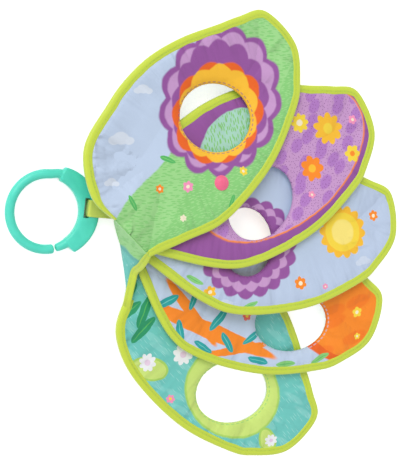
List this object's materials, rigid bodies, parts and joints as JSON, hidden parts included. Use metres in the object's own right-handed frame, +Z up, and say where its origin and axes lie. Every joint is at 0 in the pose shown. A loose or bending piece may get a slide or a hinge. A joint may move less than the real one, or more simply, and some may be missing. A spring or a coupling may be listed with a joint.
{
  "type": "soft cloth book",
  "caption": "Soft cloth book of padded oval leaves with peek holes, fanned out on one folded cloth spine, with lime edge tape and a teal plastic link ring on a webbing loop.",
  "frame": {"origin": "on the table under the middle of the book's box", "axes": "+Z up; +X to the right of the picture, from the ring towards the leaf tips; +Y towards its top"},
  "size_m": [0.2696, 0.2938, 0.0297],
  "materials": {
    "sky_print": "satin",
    "lilac_print": "satin",
    "pale_print": "satin",
    "orange_print": "satin",
    "water_print": "satin",
    "lime_satin": "satin",
    "white_wadding": "matte",
    "clear_film": "satin",
    "spine_print": "satin",
    "coral_dot": "matte",
    "mint_plastic": "gloss",
    "white_plastic": "matte"
  },
  "bodies": {
    "back_cover_body": {"back_cover_top_panel": "water_print", "back_cover_under_panel": "water_print", "back_cover_wadding": "white_wadding", "back_cover_binding": "lime_satin", "back_cover_crinkle_film": "clear_film", "spine_strip_1": "spine_print", "webbing_tab": "lime_satin"},
    "leaf_4_body": {"leaf_4_top_panel": "orange_print", "leaf_4_under_panel": "orange_print", "leaf_4_wadding": "white_wadding", "leaf_4_binding": "lime_satin", "spine_strip_2": "spine_print"},
    "leaf_3_body": {"leaf_3_top_panel": "pale_print", "leaf_3_under_panel": "pale_print", "leaf_3_wadding": "white_wadding", "leaf_3_binding": "lime_satin", "spine_strip_3": "spine_print"},
    "leaf_2_body": {"leaf_2_top_panel": "lilac_print", "leaf_2_under_panel": "lilac_print", "leaf_2_wadding": "white_wadding", "leaf_2_binding": "lime_satin", "spine_strip_4": "spine_print"},
    "front_cover_body": {"front_cover_top_panel": "sky_print", "front_cover_under_panel": "sky_print", "front_cover_wadding": "white_wadding", "front_cover_binding": "lime_satin", "front_cover_crinkle_film": "clear_film", "squeaker": "white_plastic", "squeak_dot": "coral_dot"},
    "link_body": {"webbing_loop": "lime_satin", "link_ring": "mint_plastic"}
  },
  "joints": [
    {"name": "leaf_4_seam", "type": "hinge", "parent": "back_cover_body", "child": "leaf_4_body", "pos_m": [-0.06685, 0.0101, 0.00835], "axis": [0.411, -0.9116, 0], "range_deg": [0, 25]},
    {"name": "leaf_3_seam", "type": "hinge", "parent": "leaf_4_body", "child": "leaf_3_body", "pos_m": [-0.06895, 0.01133, 0.01363], "axis": [0.5475, -0.8289, 0.1152], "range_deg": [0, 30]},
    {"name": "leaf_2_seam", "type": "hinge", "parent": "leaf_3_body", "child": "leaf_2_body", "pos_m": [-0.07123, 0.01308, 0.01949], "axis": [0.6364, -0.7657, 0.093], "range_deg": [0, 30]},
    {"name": "front_cover_seam", "type": "hinge", "parent": "leaf_2_body", "child": "front_cover_body", "pos_m": [-0.07333, 0.01448, 0.02509], "axis": [0.702, -0.7072, 0.0833], "range_deg": [0, 65]},
    {"name": "link_bend", "type": "hinge", "parent": "back_cover_body", "child": "link_body", "pos_m": [-0.06881, 0.01729, 0.0065], "axis": [-0.0872, -0.9962, 0], "range_deg": [-25, 0]}
  ]
}
